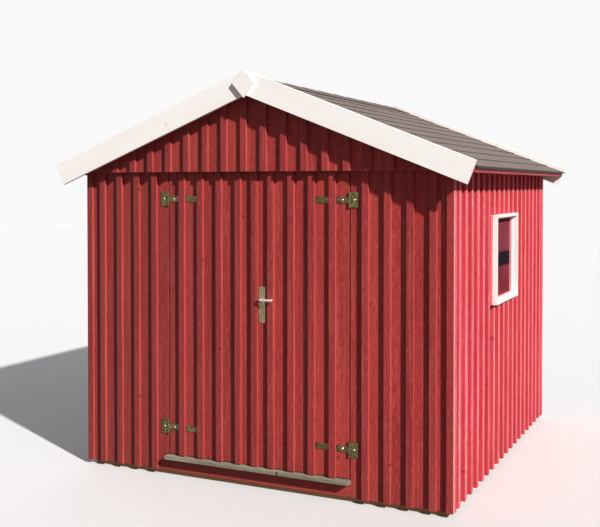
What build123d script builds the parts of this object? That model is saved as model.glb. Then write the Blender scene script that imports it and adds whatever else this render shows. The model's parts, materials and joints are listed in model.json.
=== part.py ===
from build123d import *
from math import cos, radians, sin, tan
import os

# Garden shed, millimetres. +X to the right, +Y to the back, +Z up.
# Origin: on the ground, at the middle of the shed's outline seen from above. The doors face -Y.

# Overall, over the corner battens
shed_width = 2616.0
shed_depth = 2656.0
front_overhang = 120.0
back_overhang = 70.0

# Timber sections
board_thickness = 22.0
batten_thickness = 22.0
batten_width = 45.0
batten_pitch = 141.0
stud_width = 45.0
stud_depth = 70.0
joint_gap = 0.5

# Base and floor
sill_height = 95.0
sill_width = 45.0
joist_count = 5
floor_thickness = 22.0
cladding_bottom = 30.0
threshold_thickness = 22.0
threshold_nose = 30.0
threshold_side = 10.0

# Doorway and leaves
doorway_half_width = 625.0
leaf_height = 1875.0
leaf_board_thickness = 17.0
leaf_outer_edge = 647.0
door_gap = 8.0
leaf_bottom_gap = 6.0
leaf_top_gap = 6.0
first_leaf_batten = 118.0
first_wall_batten = 757.0
ledge_width = 95.0
ledge_thickness = 22.0
ledge_setback = 38.0
middle_ledge_height = 840.0
brace_width = 95.0

# Hinges
upper_hinge_height = 1706.0
lower_hinge_height = 183.0
strap_height = 38.0
strap_length = 250.0
hinge_metal = 4.0
plate_height = 95.0
plate_reach = 57.0
knuckle_radius = 6.0
pin_radius = 3.5
pin_clearance = 0.05
knuckle_gap = 0.5
strap_relief = 1.0

# Lock and lever handle
lock_plate_clear = 2.0
lock_plate_width = 48.0
lock_plate_height = 230.0
lock_plate_thickness = 3.0
lock_plate_middle = 1035.0
lock_plate_corner = 5.0
spindle_height = 1071.0
spindle_size = 8.0
spindle_hole_radius = 8.0
keyhole_height = 985.0
keyhole_radius = 5.0
keyhole_slot = 6.0
neck_radius = 9.0
neck_clearance = 0.3
lever_radius = 7.5
lever_length = 97.0
lever_stand = 42.0
lever_bend = 14.0
lever_chamfer = 1.5

# Roof
roof_slope = 21.5
plate_lift = 33.4
deck_thickness = 20.0
eave_overhang = 123.0
rafter_depth = 70.0
rafter_width = 45.0
rafter_count = 5
ridge_board_thickness = 22.0
ridge_board_height = 95.0
tie_height = 95.0
tie_thickness = 22.0
tail_lift = 14.0
fascia_thickness = 22.0
fascia_height = 37.0
felt_drip = 20.0
felt_thickness = 3.0
course_step = 3.5
course_exposure = 150.0
cap_width = 125.0
cap_thickness = 3.0
bargeboard_width = 145.0
bargeboard_thickness = 22.0
bargeboard_setback = 5.0
bargeboard_rise = 28.0
diamond_height = 182.0
diamond_width = 156.0
diamond_thickness = 20.0
diamond_drop = 83.0

# Gables
gable_batten_shift = 17.0
furring_width = 45.0
gable_stud_spread = 420.0

# Window in the right wall
window_offset = -90.0
window_middle = 1442.0
trim_outer_width = 640.0
trim_outer_height = 600.0
trim_width = 20.0
trim_thickness = 32.0
frame_inset = 5.0
frame_bar = 22.0
frame_depth = 90.0
glass_recess = 58.0
glass_thickness = 4.0
bead_size = 12.0

# Worked out: plan positions of the frame and the cladding
wall_build = board_thickness + batten_thickness
frame_x = shed_width / 2 - wall_build
board_x = frame_x + board_thickness
batten_x = board_x + batten_thickness
front_face = -(shed_depth + back_overhang + front_overhang) / 2 + front_overhang
back_face = front_face + shed_depth
frame_front = front_face + wall_build
frame_back = back_face - wall_build
board_front = frame_front - board_thickness
board_back = frame_back + board_thickness
wall_middle = (frame_front + frame_back) / 2
inner_x = frame_x - stud_depth

# Worked out: levels
floor_top = sill_height + floor_thickness
threshold_top = floor_top + threshold_thickness
door_bottom = threshold_top + leaf_bottom_gap
door_top = door_bottom + leaf_height
gable_bottom = door_top + leaf_top_gap
slope_tan = tan(radians(roof_slope))
slope_cos = cos(radians(roof_slope))
slope_sin = sin(radians(roof_slope))
rafter_drop = rafter_depth / slope_cos
deck_rise = deck_thickness / slope_cos
plate_top = door_top + plate_lift
deck_at_ridge = plate_top + rafter_drop + slope_tan * inner_x


# Height of the roof deck's underside at a distance from the ridge
def deck_under(x):
    return deck_at_ridge - slope_tan * abs(x)


plate_bottom = plate_top - stud_width
stud_bottom = floor_top + stud_width
deck_half_width = batten_x + eave_overhang
fascia_x = deck_half_width + fascia_thickness
felt_half_width = fascia_x + felt_drip
bargeboard_half_width = felt_half_width - bargeboard_setback
fascia_bottom = deck_under(fascia_x) + deck_rise - fascia_height
tail_bottom = fascia_bottom + tail_lift


# A straight timber between two corners, added to the part being built
def timber(x, y, z, mode=Mode.ADD):
    with Locations((x[0], y[0], z[0])):
        Box(x[1] - x[0], y[1] - y[0], z[1] - z[0], align=(Align.MIN,) * 3, mode=mode)


# A rectangle between two corners, added to the sketch being built
def strip(x, y):
    with Locations(((x[0] + x[1]) / 2, (y[0] + y[1]) / 2)):
        Rectangle(x[1] - x[0], y[1] - y[0])


# Centres of the battens between two limits, at the batten pitch from a first one
def batten_centres(first, low, high):
    start = first - batten_pitch * int((first - low) / batten_pitch)
    count = int((high - start) / batten_pitch) + 1
    return [start + batten_pitch * i for i in range(count)]


# A closed outline in a vertical cross section, +X right and +Z up, added to the sketch being built
def outline(points):
    Polygon(*points, align=None)


# A section plane across the shed at a distance y, whose extrusions run towards the front
def cross_plane(y):
    return Plane(origin=(0, y, 0), x_dir=(1, 0, 0), z_dir=(0, -1, 0))


def save(piece, name):
    piece.label = name
    export_step(piece, f"parts/{name}.step")


os.makedirs("parts", exist_ok=True)

# Base: sill beams on the ground, joists between them, floorboards on top
side_sills = ((-frame_x, -frame_x + sill_width), (frame_x - sill_width, frame_x))
end_sills = ((frame_front, frame_front + sill_width), (frame_back - sill_width, frame_back))
sill_reach = frame_x - sill_width - joint_gap

with BuildPart() as sill_beams:
    for side in side_sills:
        timber(side, (frame_front, frame_back), (0, sill_height))
    for end in end_sills:
        timber((-sill_reach, sill_reach), end, (0, sill_height))
save(sill_beams.part, "sill_beams")

joist_pitch = (frame_back - frame_front - sill_width) / (joist_count + 1)
joist_places = [frame_front + joist_pitch * (i + 1) for i in range(joist_count)]
with BuildPart() as floor_joists:
    for place in joist_places:
        timber((-sill_reach, sill_reach), (place, place + sill_width), (0, sill_height))
save(floor_joists.part, "floor_joists")

with BuildPart() as floor_boards:
    timber((-frame_x, frame_x), (frame_front, frame_back), (sill_height, floor_top))
save(floor_boards.part, "floor_boards")

# Threshold strip under the doors, and the board that closes the wall below it
threshold_half = doorway_half_width + stud_width - threshold_side
wall_board_edge = leaf_outer_edge + door_gap
threshold_front = front_face - threshold_nose
post_clear = doorway_half_width - joint_gap
with BuildPart() as threshold:
    with BuildSketch(Plane.XY.offset(floor_top)):
        strip((-threshold_half, threshold_half), (threshold_front, board_front - joint_gap))
        strip((-wall_board_edge + joint_gap, wall_board_edge - joint_gap), (threshold_front, frame_front))
        strip((-post_clear, post_clear), (threshold_front, frame_front + stud_depth))
    extrude(amount=threshold_thickness)
save(threshold.part, "threshold")

with BuildPart() as door_apron:
    timber(
        (-wall_board_edge + joint_gap, wall_board_edge - joint_gap),
        (board_front, frame_front),
        (cladding_bottom, floor_top),
    )
save(door_apron.part, "door_apron")

# Wall frame: plates, studs and door posts
end_reach = inner_x - joint_gap
post = (doorway_half_width, doorway_half_width + stud_width)
end_frame_rows = ((frame_front, frame_front + stud_depth), (frame_back - stud_depth, frame_back))

with BuildPart() as bottom_plates:
    for low, high in ((-frame_x, -inner_x), (inner_x, frame_x)):
        timber((low, high), (frame_front, frame_back), (floor_top, stud_bottom))
    timber((post[0], end_reach), end_frame_rows[0], (floor_top, stud_bottom))
    timber((-end_reach, -post[0]), end_frame_rows[0], (floor_top, stud_bottom))
    timber((-end_reach, end_reach), end_frame_rows[1], (floor_top, stud_bottom))
save(bottom_plates.part, "bottom_plates")

with BuildPart() as top_plates:
    for low, high in ((-frame_x, -inner_x), (inner_x, frame_x)):
        timber((low, high), (frame_front, frame_back), (plate_bottom, plate_top))
    for row in end_frame_rows:
        timber((-end_reach, end_reach), row, (plate_bottom, plate_top))
save(top_plates.part, "top_plates")

window_y = wall_middle + window_offset
opening_width = trim_outer_width - 2 * (trim_width + frame_inset)
opening_height = trim_outer_height - 2 * (trim_width + frame_inset)
frame_half = opening_width / 2 + frame_bar
frame_low = window_middle - opening_height / 2 - frame_bar
frame_high = window_middle + opening_height / 2 + frame_bar

rafter_pitch = (frame_back - frame_front - rafter_width) / (rafter_count - 1)
rafter_places = [frame_front + rafter_pitch * i for i in range(rafter_count)]
front_jack = window_y - frame_half - stud_width
rear_jack = window_y + frame_half
front_half_bay = (frame_front + stud_width + front_jack) / 2 - stud_width / 2
rear_half_bay = (rear_jack + frame_back) / 2 - stud_width / 2
last_stud = frame_back - stud_width
right_stud_places = [frame_front, front_half_bay, front_jack, rear_jack, rear_half_bay, last_stud]
with BuildPart() as side_wall_studs:
    for place in rafter_places:
        timber((-frame_x, -inner_x), (place, place + stud_width), (stud_bottom, plate_bottom))
    for place in right_stud_places:
        timber((inner_x, frame_x), (place, place + stud_width), (stud_bottom, plate_bottom))
save(side_wall_studs.part, "side_wall_studs")

corner_stud = end_reach - stud_width
between_stud = (post[1] + corner_stud - stud_width) / 2
with BuildPart() as end_wall_studs:
    for low in (post[0], between_stud, corner_stud):
        timber((low, low + stud_width), end_frame_rows[0], (stud_bottom, plate_bottom))
        timber((-low - stud_width, -low), end_frame_rows[0], (stud_bottom, plate_bottom))
    for i in range(-2, 3):
        middle = (corner_stud + stud_width / 2) * i / 2
        half = stud_width / 2
        timber((middle - half, middle + half), end_frame_rows[1], (stud_bottom, plate_bottom))
save(end_wall_studs.part, "end_wall_studs")

jack_gap = (front_jack + stud_width, rear_jack)
with BuildPart() as window_trimmers:
    timber((inner_x, frame_x), jack_gap, (frame_low - stud_width, frame_low))
    timber((inner_x, frame_x), jack_gap, (frame_high, frame_high + stud_width))
save(window_trimmers.part, "window_trimmers")

# Roof frame: ridge board, rafter pairs with level-cut tails, ties beside the inner pairs
half_ridge = ridge_board_thickness / 2
with BuildPart() as ridge_board:
    with BuildSketch(cross_plane(frame_back)):
        outline(
            [
                (-half_ridge, deck_at_ridge - ridge_board_height),
                (half_ridge, deck_at_ridge - ridge_board_height),
                (half_ridge, deck_under(half_ridge)),
                (0, deck_at_ridge),
                (-half_ridge, deck_under(half_ridge)),
            ]
        )
    extrude(amount=frame_back - frame_front)
save(ridge_board.part, "ridge_board")

tail_start = (deck_at_ridge - rafter_drop - plate_top) / slope_tan
rafter_points = [
    (half_ridge, deck_under(half_ridge)),
    (deck_half_width, deck_under(deck_half_width)),
    (deck_half_width, tail_bottom),
    (frame_x, tail_bottom),
    (frame_x, plate_top),
    (tail_start, plate_top),
    (half_ridge, deck_under(half_ridge) - rafter_drop),
]
with BuildPart() as rafters:
    for place in rafter_places:
        with BuildSketch(cross_plane(place + rafter_width)):
            outline(rafter_points)
            outline([(-x, z) for x, z in reversed(rafter_points)])
        extrude(amount=rafter_width)
save(rafters.part, "rafters")

tie_top = plate_top + tie_height
tie_flat = (deck_at_ridge - tie_top) / slope_tan
with BuildPart() as tie_beams:
    for place in rafter_places[1:-1]:
        with BuildSketch(cross_plane(place + rafter_width + tie_thickness)):
            outline(
                [
                    (-frame_x, plate_top),
                    (frame_x, plate_top),
                    (frame_x, deck_under(frame_x)),
                    (tie_flat, tie_top),
                    (-tie_flat, tie_top),
                    (-frame_x, deck_under(frame_x)),
                ]
            )
        extrude(amount=tie_thickness)
save(tie_beams.part, "tie_beams")

block_inner = frame_x - stud_width
block_points = [
    (block_inner, plate_top),
    (frame_x, plate_top),
    (frame_x, deck_under(frame_x)),
    (block_inner, deck_under(block_inner)),
]
with BuildPart() as eave_blocks:
    for i, place in enumerate(rafter_places[:-1]):
        start = place + rafter_width + joint_gap + (tie_thickness if i else 0)
        stop = rafter_places[i + 1] - joint_gap
        with BuildSketch(cross_plane(stop)):
            outline(block_points)
            outline([(-x, z) for x, z in reversed(block_points)])
        extrude(amount=stop - start)
save(eave_blocks.part, "eave_blocks")

# Gable frame: short studs under the end rafters, and furring that brings the gable boards forward
with BuildPart() as gable_studs:
    for y in (frame_front, frame_back - rafter_width):
        with BuildSketch(cross_plane(y + rafter_width)):
            for i in (-2, -1, 1, 2):
                middle = gable_stud_spread * i
                low, high = middle - stud_width / 2, middle + stud_width / 2
                outline(
                    [
                        (low, plate_top),
                        (high, plate_top),
                        (high, deck_under(high) - rafter_drop),
                        (low, deck_under(low) - rafter_drop),
                    ]
                )
        extrude(amount=rafter_width)
save(gable_studs.part, "gable_studs")

furring_drop = furring_width / slope_cos
furring_top = plate_top + furring_width
rake_end = (deck_at_ridge - furring_drop - furring_top - joint_gap) / slope_tan
rake_points = [
    (joint_gap, deck_under(joint_gap)),
    (rake_end, deck_under(rake_end)),
    (rake_end, deck_under(rake_end) - furring_drop),
    (joint_gap, deck_under(joint_gap) - furring_drop),
]
with BuildPart() as gable_furring:
    for y in (front_face, frame_back):
        with BuildSketch(cross_plane(y + wall_build)):
            strip((-inner_x, inner_x), (plate_top, plate_top + furring_width))
            outline(rake_points)
            outline([(-x, z) for x, z in reversed(rake_points)])
        extrude(amount=wall_build)
save(gable_furring.part, "gable_furring")

# Cladding: upright boards with a batten over each joint
cladding_top = plate_top
end_battens = batten_centres(first_wall_batten, wall_board_edge, board_x - batten_width)
corner_batten = (batten_x - batten_width, batten_x)


# One wall panel of an end wall: its boards between two X limits, and its battens, facing -Y or +Y
def end_panel(x, battens, board_rows, batten_rows, z):
    with BuildPart() as panel:
        with BuildSketch(Plane.XY.offset(z[0])):
            strip(x, board_rows)
            for batten in battens:
                strip(batten, batten_rows)
        extrude(amount=z[1] - z[0])
    return panel.part


def around(centre):
    return (centre - batten_width / 2, centre + batten_width / 2)


front_rows = (board_front, frame_front)
front_batten_rows = (front_face, board_front)
wall_z = (cladding_bottom, cladding_top)
right_strips = [around(c) for c in end_battens] + [corner_batten]
left_strips = [(-high, -low) for low, high in right_strips]
save(
    end_panel((-board_x, -wall_board_edge), left_strips, front_rows, front_batten_rows, wall_z),
    "front_cladding_left",
)
save(
    end_panel((wall_board_edge, board_x), right_strips, front_rows, front_batten_rows, wall_z),
    "front_cladding_right",
)

back_centres = batten_centres(0, -board_x + batten_pitch / 2, board_x - batten_pitch / 2)
back_strips = [around(c) for c in back_centres] + [corner_batten, (-batten_x, batten_width - batten_x)]
save(
    end_panel(
        (-board_x, board_x), back_strips, (frame_back, board_back), (board_back, back_face), wall_z
    ),
    "back_cladding",
)

gable_centres = batten_centres(
    gable_batten_shift + batten_pitch / 2, -batten_x + batten_width, batten_x - batten_width
)
gable_strips = [around(c) for c in gable_centres]
gable_top = deck_at_ridge + 1


# A gable panel: boards and battens cut to the roof's slope
def gable_panel(board_rows, batten_rows):
    low_y, high_y = min(board_rows + batten_rows), max(board_rows + batten_rows)
    with BuildPart() as panel:
        with BuildSketch(Plane.XY.offset(gable_bottom)):
            strip((-batten_x, batten_x), board_rows)
            for batten in gable_strips:
                strip(batten, batten_rows)
        extrude(amount=gable_top - gable_bottom)
        with BuildSketch(cross_plane(high_y)):
            outline(
                [
                    (-batten_x, gable_bottom),
                    (batten_x, gable_bottom),
                    (batten_x, deck_under(batten_x)),
                    (0, deck_at_ridge),
                    (-batten_x, deck_under(batten_x)),
                ]
            )
        extrude(amount=high_y - low_y, mode=Mode.INTERSECT)
    return panel.part


gable_board_front = front_face - board_thickness
gable_batten_front = gable_board_front - batten_thickness
save(
    gable_panel((gable_board_front, front_face), (gable_batten_front, gable_board_front)),
    "front_gable_cladding",
)
save(
    gable_panel(
        (back_face, back_face + board_thickness),
        (back_face + board_thickness, back_face + board_thickness + batten_thickness),
    ),
    "back_gable_cladding",
)

# Side walls: the right one is in four panels round the window
side_first = wall_middle + batten_pitch / 2
side_centres = batten_centres(side_first, board_front + batten_width, board_back - batten_width)
side_strips = [around(c) for c in side_centres]
side_strips.insert(0, (board_front, board_front + batten_width))
side_strips.append((board_back - batten_width, board_back))


# One panel of a side wall between two Y limits, its battens clipped to the same limits
def side_panel(side, y, z):
    clipped = [(max(low, y[0]), min(high, y[1])) for low, high in side_strips]
    with BuildPart() as panel:
        with BuildSketch(Plane.XY.offset(z[0])):
            boards = (max(y[0], frame_front), min(y[1], frame_back))
            strip(sorted((side * frame_x, side * board_x)), boards)
            for low, high in clipped:
                if high - low > batten_width / 4:
                    strip(sorted((side * board_x, side * batten_x)), (low, high))
        extrude(amount=z[1] - z[0])
    return panel.part


side_z = (cladding_bottom, tail_bottom)
window_gap = (window_y - frame_half - joint_gap, window_y + frame_half + joint_gap)
save(side_panel(-1, (board_front, board_back), side_z), "left_cladding")
save(side_panel(1, (board_front, window_gap[0]), side_z), "right_cladding_front")
save(side_panel(1, (window_gap[1], board_back), side_z), "right_cladding_rear")
save(
    side_panel(1, window_gap, (cladding_bottom, frame_low - joint_gap)),
    "right_cladding_under_window",
)
save(
    side_panel(1, window_gap, (frame_high + joint_gap, tail_bottom)),
    "right_cladding_over_window",
)

# Window: a deep frame of four bars with beads behind the pane, the pane, and thin trim boards set on edge round it
frame_rows = (batten_x - frame_depth, batten_x)
jamb_z = (frame_low + frame_bar + joint_gap, frame_high - frame_bar - joint_gap)
frame_y = (window_y - frame_half, window_y + frame_half)
glass_outer = batten_x + trim_thickness - glass_recess
glass_rows = (glass_outer - glass_thickness, glass_outer)
pane_y = (frame_y[0] + frame_bar, frame_y[1] - frame_bar)
pane_z = (frame_low + frame_bar, frame_high - frame_bar)
bead_rows = (glass_rows[0] - bead_size, glass_rows[0])
bead_y = (pane_y[0] + joint_gap, pane_y[1] - joint_gap)
bead_z = (pane_z[0] + joint_gap, pane_z[1] - joint_gap)
side_bead_z = (bead_z[0] + bead_size + joint_gap, bead_z[1] - bead_size - joint_gap)
with BuildPart() as window_frame:
    timber(frame_rows, frame_y, (frame_low, frame_low + frame_bar))
    timber(frame_rows, frame_y, (frame_high - frame_bar, frame_high))
    timber(frame_rows, (frame_y[0], frame_y[0] + frame_bar), jamb_z)
    timber(frame_rows, (frame_y[1] - frame_bar, frame_y[1]), jamb_z)
    timber(bead_rows, bead_y, (bead_z[0], bead_z[0] + bead_size))
    timber(bead_rows, bead_y, (bead_z[1] - bead_size, bead_z[1]))
    timber(bead_rows, (bead_y[0], bead_y[0] + bead_size), side_bead_z)
    timber(bead_rows, (bead_y[1] - bead_size, bead_y[1]), side_bead_z)
save(window_frame.part, "window_frame")

with BuildPart() as window_pane:
    timber(glass_rows, pane_y, pane_z)
save(window_pane.part, "window_pane")

trim_rows = (batten_x, batten_x + trim_thickness)
trim_y = (window_y - trim_outer_width / 2, window_y + trim_outer_width / 2)
trim_z = (window_middle - trim_outer_height / 2, window_middle + trim_outer_height / 2)
trim_side_z = (trim_z[0] + trim_width + joint_gap, trim_z[1] - trim_width - joint_gap)
with BuildPart() as window_trim:
    timber(trim_rows, trim_y, (trim_z[0], trim_z[0] + trim_width))
    timber(trim_rows, trim_y, (trim_z[1] - trim_width, trim_z[1]))
    timber(trim_rows, (trim_y[0], trim_y[0] + trim_width), trim_side_z)
    timber(trim_rows, (trim_y[1] - trim_width, trim_y[1]), trim_side_z)
save(window_trim.part, "window_trim")

# Roof covering: deck boards, felt courses that step down the slope, ridge cap
roof_front = front_face - front_overhang + bargeboard_thickness
roof_back = back_face + back_overhang - bargeboard_thickness
roof_run = roof_back - roof_front


def mirrored(points):
    return [(-x, z) for x, z in reversed(points)]


deck_points = [
    (joint_gap, deck_under(joint_gap)),
    (deck_half_width, deck_under(deck_half_width)),
    (deck_half_width, deck_under(deck_half_width) + deck_rise),
    (joint_gap, deck_under(joint_gap) + deck_rise),
]
with BuildPart() as roof_deck:
    with BuildSketch(cross_plane(roof_back)):
        outline(deck_points)
        outline(mirrored(deck_points))
    extrude(amount=roof_run)
save(roof_deck.part, "roof_deck")


# A point on the roof at a distance from the ridge, raised square to the slope above the deck
def on_deck(x, raised):
    return (x, deck_under(x) + deck_rise + raised / slope_cos)


course_run = course_exposure * slope_cos
course_count = int((felt_half_width - joint_gap) / course_run)
felt_top = felt_thickness + course_step
felt_points = [on_deck(joint_gap, 0), on_deck(felt_half_width, 0)]
for i in range(course_count):
    felt_points.append(on_deck(felt_half_width - course_run * i, felt_top))
    felt_points.append(on_deck(felt_half_width - course_run * (i + 1), felt_thickness))
felt_points.append(on_deck(joint_gap, felt_top))
with BuildPart() as roof_felt:
    with BuildSketch(cross_plane(roof_back)):
        outline(felt_points)
        outline(mirrored(felt_points))
    extrude(amount=roof_run)
save(roof_felt.part, "roof_felt")

cap_run = cap_width * slope_cos
cap_points = [
    on_deck(0, felt_top),
    on_deck(cap_run, felt_top),
    on_deck(cap_run, felt_top + cap_thickness),
    on_deck(0, felt_top + cap_thickness),
]
with BuildPart() as ridge_cap:
    with BuildSketch(cross_plane(roof_back)):
        outline(cap_points)
        outline(mirrored(cap_points))
    extrude(amount=roof_run)
save(ridge_cap.part, "ridge_cap")

fascia_points = [
    (deck_half_width, fascia_bottom),
    (fascia_x, fascia_bottom),
    on_deck(fascia_x, 0),
    on_deck(deck_half_width, 0),
]
with BuildPart() as eave_fascias:
    with BuildSketch(cross_plane(roof_back)):
        outline(fascia_points)
        outline(mirrored(fascia_points))
    extrude(amount=roof_run)
save(eave_fascias.part, "eave_fascias")

# Bargeboards, cut plumb at the ridge and square at the eaves, with a diamond over each apex
barge_apex = on_deck(0, felt_top + bargeboard_rise)[1]
barge_end = barge_apex - slope_tan * bargeboard_half_width
barge_points = [
    (joint_gap, barge_apex - slope_tan * joint_gap),
    (bargeboard_half_width, barge_end),
    (bargeboard_half_width - bargeboard_width * slope_sin, barge_end - bargeboard_width * slope_cos),
    (joint_gap, barge_apex - slope_tan * joint_gap - bargeboard_width / slope_cos),
]
for name, back in (("front_bargeboards", roof_front), ("back_bargeboards", roof_back + bargeboard_thickness)):
    with BuildPart() as bargeboards:
        with BuildSketch(cross_plane(back)):
            outline(barge_points)
            outline(mirrored(barge_points))
        extrude(amount=bargeboard_thickness)
    save(bargeboards.part, name)

diamond_middle = barge_apex - diamond_drop
diamond_backs = (roof_front - bargeboard_thickness, roof_back + bargeboard_thickness + diamond_thickness)
with BuildPart() as gable_diamonds:
    for back in diamond_backs:
        with BuildSketch(cross_plane(back)):
            outline(
                [
                    (0, diamond_middle - diamond_height / 2),
                    (diamond_width / 2, diamond_middle),
                    (0, diamond_middle + diamond_height / 2),
                    (-diamond_width / 2, diamond_middle),
                ]
            )
        extrude(amount=diamond_thickness)
save(gable_diamonds.part, "gable_diamonds")

# Hinges: a tall plate on the wall with two knuckles and the pin, a strap on the leaf with the middle one
pin_x = leaf_outer_edge + door_gap / 2
pin_y = board_front - knuckle_radius - strap_relief
hinge_levels = (door_bottom + lower_hinge_height, door_bottom + upper_hinge_height)
half_strap = strap_height / 2
half_plate = plate_height / 2
metal_rows = (board_front - hinge_metal, board_front)
with BuildPart() as wall_hinge_plates:
    for side in (-1, 1):
        for level in hinge_levels:
            plate_x = sorted((side * pin_x, side * (pin_x + plate_reach)))
            timber(plate_x, metal_rows, (level - half_plate, level + half_plate))
            with Locations((side * pin_x, pin_y, level)):
                Cylinder(knuckle_radius, plate_height)
    for side in (-1, 1):
        for level in hinge_levels:
            free = knuckle_radius + strap_relief
            notch = half_strap + knuckle_gap
            timber(
                (side * pin_x - free, side * pin_x + free),
                (pin_y - free, board_front),
                (level - notch, level + notch),
                mode=Mode.SUBTRACT,
            )
    for side in (-1, 1):
        for level in hinge_levels:
            with Locations((side * pin_x, pin_y, level)):
                Cylinder(pin_radius, plate_height)
save(wall_hinge_plates.part, "wall_hinge_plates")


# The two straps of one leaf
def straps(side):
    with BuildPart() as pair:
        for level in hinge_levels:
            reach = sorted((side * pin_x, side * (pin_x - strap_length)))
            timber(reach, metal_rows, (level - half_strap, level + half_strap))
            with Locations((side * pin_x, pin_y, level)):
                Cylinder(knuckle_radius, strap_height)
        for level in hinge_levels:
            with Locations((side * pin_x, pin_y, level)):
                Cylinder(pin_radius + pin_clearance, strap_height, mode=Mode.SUBTRACT)
    return pair.part


save(straps(-1), "left_door_straps")
save(straps(1), "right_door_straps")

# Door leaves: boards flush with the wall's, battens notched over the straps
meeting_edge = batten_width / 2
leaf_centres = batten_centres(
    first_leaf_batten, first_leaf_batten - batten_pitch / 2, leaf_outer_edge - batten_pitch / 2
)
leaf_back = board_front + leaf_board_thickness
lock_x = meeting_edge + lock_plate_clear + lock_plate_width / 2


def leaf(x, strips, side):
    with BuildPart() as panel:
        with BuildSketch(Plane.XY.offset(door_bottom)):
            strip(x, (board_front, leaf_back))
            for batten in strips:
                strip(batten, front_batten_rows)
        extrude(amount=leaf_height)
        for level in hinge_levels:
            tip = side * (pin_x - strap_length - strap_relief)
            timber(
                sorted((tip, side * leaf_outer_edge)),
                (board_front - hinge_metal - strap_relief, board_front),
                (level - half_strap - strap_relief, level + half_strap + strap_relief),
                mode=Mode.SUBTRACT,
            )
        if side > 0:
            with Locations((lock_x, board_front, door_bottom + spindle_height)):
                hole_length = 4 * leaf_board_thickness
                Cylinder(spindle_hole_radius, hole_length, rotation=(90, 0, 0), mode=Mode.SUBTRACT)
    return panel.part


left_meeting = -meeting_edge - door_gap
left_leaf_strips = [(-c - batten_width / 2, -c + batten_width / 2) for c in leaf_centres]
right_leaf_strips = [around(c) for c in leaf_centres] + [(-meeting_edge, meeting_edge)]
save(leaf((-leaf_outer_edge, left_meeting), left_leaf_strips, -1), "left_door_boards")
save(leaf((-meeting_edge, leaf_outer_edge), right_leaf_strips, 1), "right_door_boards")


# Ledges and braces behind a leaf, clear of the posts and of the other leaf
def ledges(side, inner, outer):
    rows = (leaf_back, leaf_back + ledge_thickness)
    levels = [hinge_levels[0], door_bottom + middle_ledge_height, hinge_levels[1]]
    half = ledge_width / 2
    with BuildPart() as back:
        for level in levels:
            timber(sorted((side * inner, side * outer)), rows, (level - half, level + half))
        for low, high in zip(levels, levels[1:]):
            foot_z, head_z = low + half + joint_gap, high - half - joint_gap
            brace = [
                (outer - brace_width, foot_z),
                (outer, foot_z),
                (inner + brace_width, head_z),
                (inner, head_z),
            ]
            with BuildSketch(cross_plane(rows[1])):
                outline(brace if side > 0 else mirrored(brace))
            extrude(amount=ledge_thickness)
    return back.part


ledge_outer = doorway_half_width - door_gap
save(ledges(-1, ledge_setback + door_gap, ledge_outer), "left_door_ledges")
save(ledges(1, ledge_setback, ledge_outer), "right_door_ledges")

# Lock: a long plate on each face of the right leaf, with a keyhole under the lever
plate_z = door_bottom + lock_plate_middle
spindle_z = door_bottom + spindle_height
keyhole_z = door_bottom + keyhole_height
with BuildPart() as lock_plates:
    for back in (board_front, leaf_back + lock_plate_thickness):
        with BuildSketch(cross_plane(back)):
            with Locations((lock_x, plate_z)):
                RectangleRounded(lock_plate_width, lock_plate_height, lock_plate_corner)
            with Locations((lock_x, spindle_z)):
                Circle(neck_radius + neck_clearance, mode=Mode.SUBTRACT)
            with Locations((lock_x, keyhole_z)):
                Circle(keyhole_radius, mode=Mode.SUBTRACT)
            with Locations((lock_x, keyhole_z - keyhole_radius - keyhole_slot / 2)):
                Rectangle(keyhole_slot, 2 * keyhole_radius, mode=Mode.SUBTRACT)
        extrude(amount=lock_plate_thickness)
save(lock_plates.part, "lock_plates")

# Lever handle: one spindle through the leaf, a bent round lever on each end of it
outer_stand = board_front - lock_plate_thickness - lever_stand
inner_stand = leaf_back + lock_plate_thickness + lever_stand
with BuildPart() as lever:
    for stand, seat in ((outer_stand, board_front), (inner_stand, leaf_back)):
        with BuildLine() as bar:
            FilletPolyline(
                (lock_x, seat, spindle_z),
                (lock_x, stand, spindle_z),
                (lock_x + lever_length, stand, spindle_z),
                radius=lever_bend,
            )
        with BuildSketch(Plane(origin=bar.line @ 0, z_dir=bar.line % 0)):
            Circle(lever_radius)
        sweep(path=bar.line)
    tips = lever.faces().filter_by(Axis.X).sort_by(Axis.X)[-2:]
    chamfer(tips.edges(), length=lever_chamfer)
    for seat, end in ((board_front, outer_stand), (leaf_back, inner_stand)):
        with BuildSketch(Plane(origin=(lock_x, seat, spindle_z), z_dir=(0, end - seat, 0))):
            Circle(neck_radius)
        extrude(amount=lock_plate_thickness * 3)
    half = spindle_size / 2
    timber((lock_x - half, lock_x + half), (board_front, leaf_back), (spindle_z - half, spindle_z + half))
save(lever.part, "lever")
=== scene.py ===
import json
import math
from functools import partialmethod

import bmesh
import bpy
import numpy as np
from mathutils import Matrix, Vector

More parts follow.
